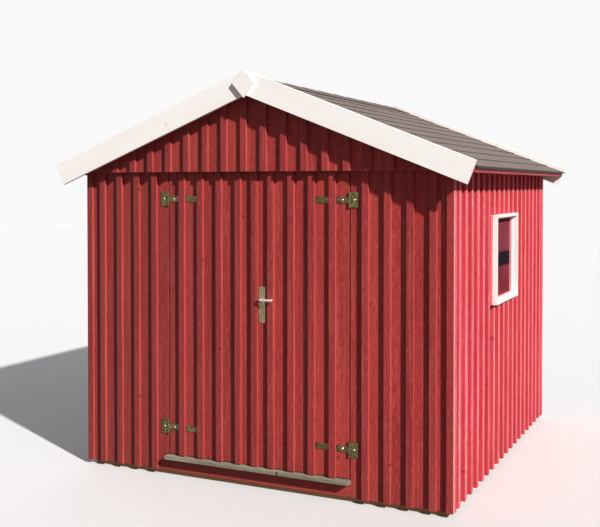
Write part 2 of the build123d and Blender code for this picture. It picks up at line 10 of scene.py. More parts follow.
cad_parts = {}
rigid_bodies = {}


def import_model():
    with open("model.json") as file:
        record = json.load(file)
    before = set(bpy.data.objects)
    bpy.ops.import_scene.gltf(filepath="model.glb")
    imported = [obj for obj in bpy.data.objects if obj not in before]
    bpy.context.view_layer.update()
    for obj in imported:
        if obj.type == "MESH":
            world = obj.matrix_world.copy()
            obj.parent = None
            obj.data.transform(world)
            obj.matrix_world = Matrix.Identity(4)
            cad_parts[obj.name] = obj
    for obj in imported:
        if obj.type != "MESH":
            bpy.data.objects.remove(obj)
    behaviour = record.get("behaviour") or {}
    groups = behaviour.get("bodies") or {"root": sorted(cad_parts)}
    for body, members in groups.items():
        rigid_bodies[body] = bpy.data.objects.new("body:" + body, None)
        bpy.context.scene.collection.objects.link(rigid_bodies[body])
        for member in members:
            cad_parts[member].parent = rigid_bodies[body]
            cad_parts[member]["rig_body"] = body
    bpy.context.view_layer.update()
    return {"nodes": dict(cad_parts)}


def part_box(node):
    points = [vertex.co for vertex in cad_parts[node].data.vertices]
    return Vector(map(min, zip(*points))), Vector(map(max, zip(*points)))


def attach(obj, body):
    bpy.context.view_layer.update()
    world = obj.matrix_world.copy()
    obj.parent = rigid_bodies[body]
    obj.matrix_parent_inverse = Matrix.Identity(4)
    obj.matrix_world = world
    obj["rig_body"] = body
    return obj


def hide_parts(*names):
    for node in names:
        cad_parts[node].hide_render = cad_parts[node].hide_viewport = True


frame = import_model()
print("frame loaded:", len(frame["nodes"]), "pieces")


# Node trees

class Wire:
    # an output socket; arithmetic with it adds Math nodes to its tree
    def __init__(self, graph, socket):
        self.graph = graph
        self.socket = socket

    def other(self, name):
        return Wire(self.graph, self.socket.node.outputs[name])

    def math(self, operation, term=0.0, swapped=False):
        terms = (term, self) if swapped else (self, term)
        return self.graph.add("ShaderNodeMath", dict(enumerate(terms)), operation=operation)

    __add__ = __radd__ = partialmethod(math, "ADD")
    __sub__ = partialmethod(math, "SUBTRACT")
    __rsub__ = partialmethod(math, "SUBTRACT", swapped=True)
    __mul__ = __rmul__ = partialmethod(math, "MULTIPLY")
    __truediv__ = partialmethod(math, "DIVIDE")

    def rise(self, low, high):
        # 0 below low, 1 above high, and a smooth step between them
        limits = {"Value": self, "From Min": low, "From Max": high}
        return self.graph.add("ShaderNodeMapRange", limits, interpolation_type="SMOOTHSTEP")


class Graph:
    # a node tree being built
    def __init__(self, tree):
        self.tree = tree
        self.tree.nodes.clear()

    def add(self, kind, sockets=None, out=0, **settings):
        node = self.tree.nodes.new(kind)
        for name, value in settings.items():
            setattr(node, name, value)
        for key, value in (sockets or {}).items():
            if isinstance(value, Wire):
                self.tree.links.new(value.socket, node.inputs[key])
            else:
                node.inputs[key].default_value = value
        return Wire(self, node.outputs[out]) if node.outputs else None

    def mix(self, amount, first, second):
        sockets = {0: amount, 6: first, 7: second}
        return self.add("ShaderNodeMix", sockets, 2, data_type="RGBA", clamp_result=True)

    def layered(self, colour, look, shares):
        # mixes in colours of a look one by one, each by its share
        for name, share in shares:
            colour = self.mix(share, colour, look[name])
        return colour

    def vector(self, operation, first, second, out=0):
        return self.add("ShaderNodeVectorMath", {0: first, 1: second}, out, operation=operation)

    def part(self, vector, axis):
        return self.add("ShaderNodeSeparateXYZ", {0: vector}, axis)

    def attribute(self, name, out="Fac"):
        return self.add("ShaderNodeAttribute", None, out, attribute_name=name)

    def noise(self, place, detail, scale, roughness=0.5):
        # its scale is one number, or three along the axes
        if isinstance(scale, tuple):
            place, scale = self.vector("MULTIPLY", place, scale), 1.0
        sockets = {"Vector": place, "Scale": scale, "Detail": detail, "Roughness": roughness}
        return self.add("ShaderNodeTexNoise", sockets, "Fac")


def rgb(red, green, blue):
    # a screen colour, 0 to 255, as linear light
    parts = [v / 255 for v in (red, green, blue)]
    return (*[p / 12.92 if p < 0.04045 else ((p + 0.055) / 1.055) ** 2.4 for p in parts], 1.0)


def newMaterial(name):
    material = bpy.data.materials.new(name)
    material.use_nodes = True
    return material, Graph(material.node_tree)


def coat(graph, colour, roughness, height=None, bump=0.0, depth=0.001, **fixed):
    # closes a material: the surface shader and the output
    sockets = {"Base Color": colour, "Roughness": roughness}
    sockets.update({name.replace("_", " "): value for name, value in fixed.items()})
    if height is not None:
        relief = {"Strength": bump, "Distance": depth, "Height": height}
        sockets["Normal"] = graph.add("ShaderNodeBump", relief)
    surface = graph.add("ShaderNodeBsdfPrincipled", sockets)
    graph.add("ShaderNodeOutputMaterial", {"Surface": surface})


# Timber finishes. Each timber carries its own lengthwise coordinates, a tone and a mark on its end faces.

knots = {
    "spacing": (0.46, 0.15),  # along and across a board
    "radius": (0.005, 0.015),
    "share": 0.45,  # of the places that have one
    "pull": 0.018,  # how far a knot bends the grain
    "pullReach": 0.0006,  # square metres
    "ragged": 0.008,
    "rim": (-0.001, 0.0045),
}
grainLook = {
    "ringWidth": 0.009,
    "wander": 0.055,  # how far the rings drift across a board
    # each pattern: its detail, how fast it changes along, across and through a board, its roughness
    "drift": (2.0, (0.9, 7.0, 7.0), 0.5),
    "fibre": (3.0, (7.0, 260.0, 260.0), 0.65),
    "streak": (2.0, (1.6, 42.0, 42.0), 0.5),
    "mottle": (3.0, (22.0, 150.0, 150.0), 0.6),
    "ragged": (2.0, (70.0, 130.0, 1.0), 0.5),
}


def woodPattern(graph):
    place = graph.attribute("grain", "Vector")
    across = graph.part(place, "Y")

    def pattern(name):
        return graph.noise(place, *grainLook[name])

    cells = graph.add("ShaderNodeCombineXYZ", {
        0: across.other("X") / knots["spacing"][0], 1: across / knots["spacing"][1], 2: 0.0})
    scaled = {"Vector": cells, "Scale": 1.0}
    cell = graph.add("ShaderNodeTexVoronoi", scaled, "Color", voronoi_dimensions="2D")
    heart = graph.vector("MULTIPLY", cell.other("Position"), (*knots["spacing"], 0.0))
    flat = graph.vector("MULTIPLY", place, (1.0, 1.0, 0.0))
    away = graph.vector("DISTANCE", flat, heart, "Value")
    chance = graph.add("ShaderNodeSeparateColor", {0: cell}, "Red")
    present = chance.other("Green").math("LESS_THAN", knots["share"])
    low, high = knots["radius"]
    radius = present * (low + chance * (high - low))
    ragged = away + knots["ragged"] * (pattern("ragged") - 0.5)
    knot = 1 - (ragged - radius).rise(*knots["rim"])
    pull = present * knots["pull"] / (1 + away * away / knots["pullReach"])

    drift = pattern("drift")
    phase = (across + pull + grainLook["wander"] * drift) * (2 * math.pi / grainLook["ringWidth"])
    return {
        "tone": graph.attribute("tone"), "ends": graph.attribute("endGrain"),
        "inner": graph.attribute("inner"), "knot": knot, "rim": knot * (1 - knot) * 4.0, "drift": drift,
        "rings": phase.math("SINE") * 0.5 + 0.5, "fibre": pattern("fibre"),
        "streak": pattern("streak"), "mottle": pattern("mottle"),
    }


wear = {
    # between which values each pattern comes to show
    "drift": (0.42, 0.66), "streak": (0.5, 0.74), "worn": (0.54, 0.68), "dark": (0.45, 0.3),
    "fibre": (0.5, 0.3),
    "driftShare": 0.45, "fibreShare": 0.55, "ringShare": 0.45,
}


def timberColour(graph, wood, look):
    # base tone, darker drifts, worn streaks and mottles, grain lines, and knots with a worn rim
    mottle = wood["mottle"]
    fibre = wood["fibre"].rise(*wear["fibre"]) * wear["fibreShare"]
    rings = wood["rings"] * wood["rings"] * wear["ringShare"]
    return graph.layered(look["warm"], look, (
        ("cool", wood["tone"]),
        ("dark", wood["drift"].rise(*wear["drift"]) * look["mottle"] * wear["driftShare"]),
        ("worn", wood["streak"].rise(*wear["streak"]) * look["streaks"]),
        ("worn", mottle.rise(*wear["worn"]) * look["mottle"]),
        ("dark", mottle.rise(*wear["dark"]) * look["mottle"]),
        ("dark", (fibre + rings) * look["grain"]),
        ("knotColour", wood["knot"] * look["knots"]),
        ("worn", wood["rim"] * look["knots"])))


soilAndDarkening = {
    "deepening": (-1.7, 1.1),  # the colour darkens from the right end towards the left, along X
    "splash": (0.03, 0.34),  # soil splashed up from the ground, heights
    "splashScale": (9.0, 9.0, 5.0),
}
sawnFace = {"fibre": 0.7, "rings": 0.3, "rim": 0.6, "roughness": 0.18, "strength": 0.35, "depth": 0.0009}


def objectPlace(graph):
    return graph.add("ShaderNodeTexCoord", None, "Object")


def paintedTimber(name, look, innerLook=None):
    # painted or bare timber; faces marked as inner have a second finish
    material, graph = newMaterial(name)
    wood = woodPattern(graph)
    spot = objectPlace(graph)
    level = graph.part(spot, "Z")
    leftward = 1 - level.other("X").rise(*soilAndDarkening["deepening"])
    spatter = graph.noise(spot, 3.0, soilAndDarkening["splashScale"])
    splash = (1 - level.rise(*soilAndDarkening["splash"])) * spatter
    paint = graph.layered(timberColour(graph, wood, look), look, (
        ("deep", leftward * look["deepen"]),
        ("soil", splash * look["splash"]),
        ("endColour", wood["ends"] * look["ends"])))
    if innerLook:
        paint = graph.mix(wood["inner"], paint, timberColour(graph, wood, innerLook))
    fibre, rings, rim = (wood[part] * sawnFace[part] for part in ("fibre", "rings", "rim"))
    roughness = look["gloss"] + sawnFace["roughness"] * wood["fibre"]
    coat(graph, paint, roughness, fibre + rings + rim, sawnFace["strength"], sawnFace["depth"],
         Specular_IOR_Level=look["gleam"])
    return material


def tones(warm, cool, worn, dark):
    # the four tones of a timber's finish
    return {"warm": rgb(*warm), "cool": rgb(*cool), "worn": rgb(*worn), "dark": rgb(*dark)}


bareLook = tones((214, 172, 118), (204, 166, 120), (224, 188, 140), (166, 112, 66)) | {
    "knotColour": rgb(104, 58, 32), "endColour": rgb(186, 136, 86), "soil": rgb(150, 120, 90),
    "deep": rgb(180, 140, 96), "streaks": 0.5, "mottle": 0.2, "grain": 0.62, "knots": 0.9, "splash": 0.25,
    "ends": 0.6, "deepen": 0.0, "gloss": 0.6, "gleam": 0.22}
bareTimber = paintedTimber("bare_timber", bareLook)
redLook = bareLook | tones((173, 62, 56), (162, 50, 52), (190, 88, 82), (112, 30, 32)) | {
    "knotColour": rgb(100, 26, 28), "endColour": rgb(142, 48, 48), "soil": rgb(116, 62, 52),
    "deep": rgb(104, 50, 46), "mottle": 0.75, "grain": 0.46, "knots": 0.55, "splash": 0.35, "ends": 0.5,
    "deepen": 0.5, "gloss": 0.56}
redPaint = paintedTimber("red_paint", redLook, bareLook)
battenLook = redLook | tones((163, 57, 56), (152, 47, 51), (186, 88, 84), (108, 29, 33)) | {
    "mottle": 0.65, "gloss": 0.6}
# the sides of the battens take a slightly lighter, less mottled tone: painted highlight on their sunlit sides
sideHighlightLook = redLook | tones((164, 62, 57), (158, 55, 53), (172, 84, 77), (128, 35, 36)) | {
    "mottle": 0.35, "grain": 0.3}
battenPaint = paintedTimber("red_batten_paint", battenLook, sideHighlightLook)
# the edge faces of the front's right corner battens are paler, a pale line down the corner
paleCornerEdgeLook = sideHighlightLook | tones((194, 140, 138), (190, 132, 132), (196, 160, 156), (170, 80, 82)) | {
    "mottle": 0.55}
paleEdgeCornerPaint = paintedTimber("pale_edge_corner_paint", battenLook, paleCornerEdgeLook)
fadedLook = redLook | tones((200, 98, 101), (191, 82, 90), (212, 138, 138), (146, 45, 55)) | {
    "knotColour": rgb(120, 30, 38), "endColour": rgb(170, 64, 66), "soil": rgb(130, 68, 60),
    "knots": 0.45, "deepen": 0.0, "gloss": 0.6, "gleam": 0.04}
fadedPaint = paintedTimber("faded_red_paint", fadedLook, bareLook)
fadedBattenLook = fadedLook | tones((203, 107, 109), (193, 84, 93), (211, 143, 143), (158, 51, 61)) | {
    "streaks": 0.6, "mottle": 0.75, "knots": 0.35}
# the fascia's paint is darker: painted shade under the felt's overhang
shadedEaveLook = redLook | tones((146, 54, 54), (134, 45, 48), (168, 84, 82), (92, 26, 29)) | {"deepen": 0.0}
shadedEavePaint = paintedTimber("eave_painted_shade", shadedEaveLook)
# the sides of the right wall's battens take a deeper red than their faces: painted shade on the sides, which
# take less sun
fadedSideShadeLook = fadedLook | tones((200, 72, 82), (192, 62, 76), (208, 100, 106), (160, 42, 54)) | {
    "mottle": 0.4}
fadedBattenPaint = paintedTimber("faded_batten_paint", fadedBattenLook, fadedSideShadeLook)
whiteLook = bareLook | tones((250, 249, 247), (248, 247, 245), (249, 238, 233), (238, 215, 208)) | {
    "knotColour": rgb(228, 196, 184), "endColour": rgb(197, 167, 162), "streaks": 0.55, "mottle": 0.45,
    "grain": 0.38, "knots": 0.35, "splash": 0.0, "ends": 1.0, "gloss": 0.5}
whitePaint = paintedTimber("white_paint", whiteLook)
# a dimmer white for the sunny right side: painted shade against its stronger light
sunnySideDimWhiteLook = whiteLook | tones((240, 240, 238), (238, 237, 236), (238, 228, 224), (230, 214, 209)) | {
    "endColour": rgb(220, 196, 190), "ends": 0.3, "mottle": 0.2, "grain": 0.2}
# a still dimmer white for the trim's faces toward +X, which take the sun: painted shade
sunlitFaceShadeWhiteLook = sunnySideDimWhiteLook | tones((198, 197, 195), (196, 194, 193), (197, 187, 184), (188, 172, 168))
trimPaint = paintedTimber("window_white", sunnySideDimWhiteLook, sunlitFaceShadeWhiteLook)
beadLook = sunnySideDimWhiteLook | tones((228, 160, 162), (224, 150, 156), (232, 184, 182), (206, 112, 120))
beadPaint = paintedTimber("bead_paint", beadLook)
weatheredLook = bareLook | tones((140, 132, 110), (126, 122, 108), (176, 168, 148), (84, 76, 62)) | {
    "knotColour": rgb(62, 52, 42), "endColour": rgb(110, 98, 80), "soil": rgb(96, 88, 72),
    "streaks": 0.75, "mottle": 0.45, "grain": 0.7, "knots": 0.8, "gloss": 0.7}
weatheredTimber = paintedTimber("weathered_timber", weatheredLook)
print("timber finishes made")


# Other finishes

feltLook = {
    "light": rgb(88, 74, 68), "deep": rgb(79, 66, 61), "grit": rgb(142, 124, 114), "pit": rgb(48, 40, 38),
    "patch": rgb(72, 63, 61), "stainAndShade": rgb(44, 37, 39), "edge": rgb(44, 38, 40),
    "shares": {"grit": 0.55, "pit": 0.45, "patch": 0.3, "stainAndShade": 0.8},
    "gritScale": 520.0, "patchScale": 2.2, "pits": (0.3, 0.0), "patches": (0.45, 0.75),
    "roughness": (0.88, 0.08), "relief": (0.5, 0.0007),
    "exposure": 0.150,  # of a course, down the slope
    "lowestFoot": 1.5725,  # where the lowest course ends, down the slope from the ridge
    "stainAndShadeReach": (0.002, 0.014),
}


def makeRoofFelt():
    # mineral grit on bitumen, with a dark band under the foot of each course, part stain and part painted
    # shade
    material, graph = newMaterial("roof_felt")
    place = graph.attribute("grain", "Vector")
    run = graph.attribute("run")
    belowFoot = (run - feltLook["lowestFoot"]).math("FLOORED_MODULO", feltLook["exposure"])
    # dark just down the slope from each course's foot: stain, and painted shade cast by the foot
    stainAndShade = 1 - belowFoot.rise(*feltLook["stainAndShadeReach"])
    fine = {"Vector": place, "Scale": feltLook["gritScale"]}
    speck = graph.add("ShaderNodeTexVoronoi", fine, "Color")
    grit = graph.add("ShaderNodeSeparateColor", {0: speck}, "Red")
    patch = graph.noise(objectPlace(graph), 4.0, feltLook["patchScale"])
    share = feltLook["shares"]
    colour = graph.layered(feltLook["deep"], feltLook, (
        ("light", graph.attribute("tone")),
        ("grit", grit * grit * share["grit"]),
        ("pit", grit.rise(*feltLook["pits"]) * share["pit"]),
        ("patch", patch.rise(*feltLook["patches"]) * share["patch"]),
        ("stainAndShade", stainAndShade * share["stainAndShade"]),
        ("edge", graph.attribute("edge"))))
    least, more = feltLook["roughness"]
    coat(graph, colour, least + more * grit, grit, *feltLook["relief"])
    return material


plating = {
    "clouds": (0.35, 0.68), "scratches": (0.4, 0.7), "scratchShine": 0.1, "scratchHeight": 0.6,
    "relief": (0.12, 0.0004),
}


def makeMetal(name, look):
    # plated or brushed steel: cloudy plating, fine scratches, dull spots
    material, graph = newMaterial(name)
    place = objectPlace(graph)
    cloud = graph.noise(place, 4.0, look["cloudScale"])
    scratch = graph.noise(place, 2.0, look["scratch"])
    colour = graph.layered(look["deep"], look, (
        ("light", cloud.rise(*plating["clouds"])),
        ("bright", scratch.rise(*plating["scratches"]) * look["scratches"])))
    roughness = look["roughness"] + look["dull"] * cloud - plating["scratchShine"] * scratch
    height = scratch * plating["scratchHeight"] + cloud
    coat(graph, colour, roughness, height, *plating["relief"], Metallic=look["metallic"])
    return material


# the colours of the reflection painted on the pane, and the heights where they change
glassLook = {
    "upper": rgb(112, 48, 58), "lower": rgb(102, 38, 46), "reflectedVeil": rgb(134, 64, 74), "reflectedBand": rgb(34, 26, 32),
    "reflectedBandLevels": (1.368, 1.382, 1.466, 1.480), "sway": 0.020, "fadeLevels": (1.3, 1.55), "alpha": 0.88,
    "stretch": (1.0, 3.0, 5.0), "reflectionStreak": (0.42, 0.68), "reflectionStreakShare": 0.6, "roughness": (0.03, 0.05),
}


def makeGlass():
    # a dark pane whose colour is a painted reflection: red above and below a dark band, toned by height, with
    # a streaky painted veil
    material, graph = newMaterial("window_glass")
    place = objectPlace(graph)
    reflectionStreak = graph.noise(place, 3.0, glassLook["stretch"])
    level = graph.part(place, "Z") + (reflectionStreak - 0.5) * glassLook["sway"]
    foot, footEnd, head, headEnd = glassLook["reflectedBandLevels"]
    colour = graph.layered(glassLook["lower"], glassLook, (
        ("upper", level.rise(*glassLook["fadeLevels"])),
        ("reflectedVeil", reflectionStreak.rise(*glassLook["reflectionStreak"]) * glassLook["reflectionStreakShare"]),
        ("reflectedBand", level.rise(foot, footEnd) * (1 - level.rise(head, headEnd)))))
    least, more = glassLook["roughness"]
    # the pane mirrors nothing; its reflection is painted into the colour
    coat(graph, colour, least + more * reflectionStreak, Alpha=glassLook["alpha"], Specular_IOR_Level=0.0)
    return material


roofFelt = makeRoofFelt()
hingeZinc = makeMetal("hinge_zinc", {
    "deep": rgb(66, 62, 40), "light": rgb(112, 102, 66), "bright": rgb(150, 138, 96), "cloudScale": 55.0,
    "scratch": (40.0, 40.0, 260.0), "scratches": 0.35, "roughness": 0.42, "dull": 0.25, "metallic": 0.75})
boltZinc = makeMetal("bolt_zinc", {
    "deep": rgb(196, 188, 164), "light": rgb(232, 226, 206), "bright": rgb(250, 246, 232), "cloudScale": 90.0,
    "scratch": (300.0, 300.0, 300.0), "scratches": 0.3, "roughness": 0.22, "dull": 0.15, "metallic": 0.9})
lockSteel = makeMetal("lock_steel", {
    "deep": rgb(124, 108, 82), "light": rgb(152, 136, 108), "bright": rgb(186, 172, 144), "cloudScale": 24.0,
    "scratch": (420.0, 420.0, 9.0), "scratches": 0.6, "roughness": 0.4, "dull": 0.18, "metallic": 0.8})
leverSteel = makeMetal("lever_steel", {
    "deep": rgb(206, 196, 176), "light": rgb(234, 226, 208), "bright": rgb(248, 242, 228), "cloudScale": 30.0,
    "scratch": (60.0, 420.0, 420.0), "scratches": 0.4, "roughness": 0.2, "dull": 0.12, "metallic": 0.85})
windowGlass = makeGlass()
print("felt, metal and glass finishes made")


# Pieces

easing = {
    "segments": 2, "angle": 40, "sharp": 30, "metalSharp": 40, "leverSharp": 35,  # angles in degrees
    "white": 0.0015, "window": 0.0012,
}
merging = {"distance": 2e-5, "angle": 1}
endFaces = 0.75  # how far along the grain a face has to look to be an end face


def newObject(name, data):
    made = bpy.data.objects.new(name, data)
    bpy.context.scene.collection.objects.link(made)
    return made


def plainMesh(holder):
    # the mesh that an object's modifiers make of it, in its place
    made = bpy.data.meshes.new_from_object(holder.evaluated_get(bpy.context.evaluated_depsgraph_get()))
    bpy.data.objects.remove(holder)
    return made


def writeAttribute(mesh, name, domain, values):
    # a number or a vector on each point or face
    values = np.ascontiguousarray(values, np.float32)
    kind, field = ("FLOAT_VECTOR", "vector") if values.ndim == 2 else ("FLOAT", "value")
    layer = mesh.attributes.get(name) or mesh.attributes.new(name, kind, domain)
    layer.data.foreach_set(field, values.ravel())


def vertexPlaces(mesh):
    co = np.empty(len(mesh.vertices) * 3, np.float32)
    mesh.vertices.foreach_get("co", co)
    return co.reshape(-1, 3).astype(float)


def islandOfVertices(mesh):
    # a number for each vertex, the same for all that edges join
    pairs = np.empty(len(mesh.edges) * 2, np.int32)
    mesh.edges.foreach_get("vertices", pairs)
    near, far = pairs.reshape(-1, 2).T
    label = np.arange(len(mesh.vertices))
    while True:
        low = np.minimum(label[near], label[far])
        lower = label.copy()
        np.minimum.at(lower, near, low)
        np.minimum.at(lower, far, low)
        lower = lower[lower]
        if np.array_equal(lower, label):
            return label
        label = lower


def followGrain(mesh, seed):
    # lengthwise coordinates, a tone and end faces for each separate timber of a mesh
    chance = np.random.default_rng(seed)
    co = vertexPlaces(mesh)
    label = islandOfVertices(mesh)
    grain = np.zeros_like(co)
    tone = np.zeros(len(co))
    lengthways = np.zeros_like(co)
    for part in np.unique(label):
        mine = label == part
        middle = co[mine].mean(0)
        spread, axes = np.linalg.eigh(np.cov((co[mine] - middle).T))
        axes = axes[:, np.argsort(-spread)]
        axes = axes * np.sign(axes[np.abs(axes).argmax(0), [0, 1, 2]])
        grain[mine] = (co[mine] - middle) @ axes + chance.uniform(3, 60, 3)
        tone[mine] = chance.random()
        lengthways[mine] = axes[:, 0]
    normals = np.array([face.normal for face in mesh.polygons])
    first = np.array([face.vertices[0] for face in mesh.polygons])
    ends = np.abs((normals * lengthways[first]).sum(1)) > endFaces
    writeAttribute(mesh, "grain", "POINT", grain)
    writeAttribute(mesh, "tone", "POINT", tone)
    writeAttribute(mesh, "endGrain", "FACE", ends)


def markInner(mesh, outward, edgesToo=False):
    # marks the faces turned away from the painted side, or also the edge faces
    limit = 0.5 if edgesToo else -0.5
    faces = [face.normal.dot(Vector(outward)) < limit for face in mesh.polygons]
    writeAttribute(mesh, "inner", "FACE", faces)


def placePiece(name, mesh, material=None, stands=(), bevel=0.0, smoothBelow=easing["sharp"],
               body="shed"):
    # an object for a finished mesh, on its CAD body, standing for the nodes that it replaces
    piece = newObject(name, mesh)
    mesh.name = name
    if material:
        mesh.materials.clear()
        mesh.materials.append(material)
    mesh.polygons.foreach_set("use_smooth", [True] * len(mesh.polygons))
    if smoothBelow:
        mesh.set_sharp_from_angle(angle=math.radians(smoothBelow))
    if bevel:
        edge = piece.modifiers.new("eased edges", "BEVEL")
        edge.width, edge.segments, edge.limit_method = bevel, easing["segments"], "ANGLE"
        edge.angle_limit = math.radians(easing["angle"])
        edge.harden_normals = True
    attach(piece, body)
    if stands:
        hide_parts(*stands)
    return piece


def mergedCopy(nodeName):
    # a copy of a CAD node with its triangles joined into whole faces
    made = bpy.data.meshes.new("merged")
    work = bmesh.new()
    work.from_mesh(frame["nodes"][nodeName].data)
    bmesh.ops.remove_doubles(work, verts=work.verts, dist=merging["distance"])
    flat = math.radians(merging["angle"])
    bmesh.ops.dissolve_limit(work, angle_limit=flat, verts=work.verts, edges=work.edges)
    work.to_mesh(made)
    work.free()
    return made


def easeNode(nodeName, material, seed, bevel=0.002, smoothBelow=easing["sharp"]):
    # a CAD node's own shape with its edges eased and the grain laid along each timber
    mesh = mergedCopy(nodeName)
    followGrain(mesh, seed)
    body = frame["nodes"][nodeName]["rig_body"]
    return placePiece(nodeName + "_finished", mesh, material, [nodeName], bevel, smoothBelow, body)


def corners(first, second):
    # the low and the high corner of the box between two points
    return np.minimum(first, second), np.maximum(first, second)


def cutAway(mesh, boxes=(), rods=()):
    # takes boxes, and round rods that run along Y, out of a mesh
    work = bmesh.new()
    for box in boxes:
        low, high = (Vector(corner) for corner in corners(*box))
        place = Matrix.Translation((low + high) / 2) @ Matrix.Diagonal((*(high - low), 1.0))
        bmesh.ops.create_cube(work, size=1.0, matrix=place)
    for middle, radius, length in rods:
        place = Matrix.Translation(middle) @ Matrix.Rotation(math.pi / 2, 4, "X")
        bmesh.ops.create_cone(work, cap_ends=True, segments=24, radius1=radius, radius2=radius,
                              depth=length, matrix=place)
    cutterMesh = bpy.data.meshes.new("cutter")
    work.to_mesh(cutterMesh)
    work.free()
    cutter, held = newObject("cutter", cutterMesh), newObject("held", mesh)
    cut = held.modifiers.new("cut", "BOOLEAN")
    cut.operation, cut.solver, cut.object = "DIFFERENCE", "EXACT", cutter
    cut.use_self = True
    made = plainMesh(held)
    bpy.data.objects.remove(cutter)
    return made


# Rows of timber, nails, screws and bolts: a Geometry Nodes tree sets one on each point

def newModifierTree(name, inputs):
    tree = bpy.data.node_groups.new(name, "GeometryNodeTree")
    tree.is_modifier = True
    kinds = {"Geometry": "NodeSocketGeometry", "Seed": "NodeSocketInt", "Finish": "NodeSocketMaterial"}
    for socket in ("Geometry", *inputs):
        tree.interface.new_socket(socket, in_out="INPUT", socket_type=kinds.get(socket, "NodeSocketFloat"))
    tree.interface.new_socket("Geometry", in_out="OUTPUT", socket_type="NodeSocketGeometry")
    graph = Graph(tree)
    return tree, graph, graph.add("NodeGroupInput", None, "Geometry")


def named(graph, name):
    return graph.add("GeometryNodeInputNamedAttribute", {"Name": name}, "Attribute", data_type="FLOAT_VECTOR")


def finishTree(graph, shape, given):
    solid = graph.add("GeometryNodeSetMaterial", {"Geometry": shape, "Material": given.other("Finish")})
    graph.add("NodeGroupOutput", {0: solid})


def makeBlockTree():
    # blocks of given sizes and turns, each a little smaller by chance, cut off under the roof line
    inputs = ["Size Loss", "Roof Height", "Roof Slope", "Seed", "Finish"]
    tree, graph, given = newModifierTree("blocks", inputs)
    chance = graph.add("FunctionNodeRandomValue", {"Seed": given.other("Seed")}, data_type="FLOAT_VECTOR")
    loss = graph.vector("MULTIPLY", chance, given.other("Size Loss"))
    block = graph.add("GeometryNodeMeshCube", {"Size": (1.0, 1.0, 1.0)}, "Mesh")
    rows = graph.add("GeometryNodeInstanceOnPoints", {
        "Points": given, "Instance": block, "Scale": graph.vector("SUBTRACT", named(graph, "size"), loss),
        "Rotation": graph.add("FunctionNodeEulerToRotation", {0: named(graph, "turn")})})
    solid = graph.add("GeometryNodeRealizeInstances", {"Geometry": rows})
    across = graph.part(graph.add("GeometryNodeInputPosition"), "X")
    line = given.other("Roof Height") - across.math("ABSOLUTE") * given.other("Roof Slope")
    level = across.other("Z").math("MINIMUM", line)
    place = graph.add("ShaderNodeCombineXYZ", {0: across, 1: across.other("Y"), 2: level})
    lowered = graph.add("GeometryNodeSetPosition", {"Geometry": solid, "Position": place})
    finishTree(graph, lowered, given)
    return tree


headShape = {"Segments": 12, "Rings": 6, "Radius": 1.0}
headSizes = (0.88, 1.0)  # by chance, times the nominal radius


def makeHeadTree():
    # domed heads of nails, screws and bolts, each facing the way its point says
    tree, graph, given = newModifierTree("heads", ["Radius", "Rise", "Seed", "Finish"])
    ball = graph.add("GeometryNodeMeshUVSphere", headShape, "Mesh")
    limits = {2: headSizes[0], 3: headSizes[1], "Seed": given.other("Seed")}
    chance = graph.add("FunctionNodeRandomValue", limits, 1, data_type="FLOAT")
    radius = given.other("Radius") * chance
    scale = graph.add("ShaderNodeCombineXYZ", {0: radius, 1: radius, 2: given.other("Rise")})
    facing = graph.add("FunctionNodeAlignRotationToVector", {"Vector": named(graph, "facing")}, axis="Z")
    heads = graph.add("GeometryNodeInstanceOnPoints", {
        "Points": given, "Instance": ball, "Scale": scale, "Rotation": facing})
    finishTree(graph, graph.add("GeometryNodeRealizeInstances", {"Geometry": heads}), given)
    return tree


blockTree = makeBlockTree()
headTree = makeHeadTree()


def grownOnPoints(tree, points, attributes, inputs):
    # the plain mesh that a tree makes of some points
    holderMesh = bpy.data.meshes.new("points")
    holderMesh.from_pydata(points, [], [])
    for name, values in attributes.items():
        writeAttribute(holderMesh, name, "POINT", values)
    holder = newObject("points", holderMesh)
    grow = holder.modifiers.new("grow", "NODES")
    grow.node_group = tree
    for item in tree.interface.items_tree:
        if item.name in inputs:
            grow[item.identifier] = inputs[item.name]
    return plainMesh(holder)


def slab(low, high):
    # one block between two corners: its middle, its size and its turn
    low, high = corners(low, high)
    return (low + high) / 2, high - low, (0.0, 0.0, 0.0)


noRoof = (99.0, 0.0)  # a roof line's height at the ridge and its slope, here far above everything
sawn = {"rough": 0.0012, "even": 0.0008}  # how much smaller a timber may be than its nominal size


def blockMesh(slabs, material, seed, loss=sawn["rough"], roof=noRoof):
    # a row of timbers as one plain mesh, with its grain laid
    middles, sizes, turns = zip(*slabs)
    inputs = {"Size Loss": loss, "Roof Height": roof[0], "Roof Slope": roof[1], "Seed": seed,
              "Finish": material}
    made = grownOnPoints(blockTree, [tuple(m) for m in middles], {"size": sizes, "turn": turns}, inputs)
    followGrain(made, seed)
    return made


def domedHeads(name, places, facing, size, material, seed, body="shed"):
    # nails, screws or bolts of one size, a radius and a rise, as one piece
    inputs = {"Radius": size[0], "Rise": size[1], "Seed": seed, "Finish": material}
    made = grownOnPoints(headTree, places, {"facing": [facing] * len(places)}, inputs)
    followGrain(made, seed)
    placePiece(name, made, smoothBelow=None, body=body)


# Walls

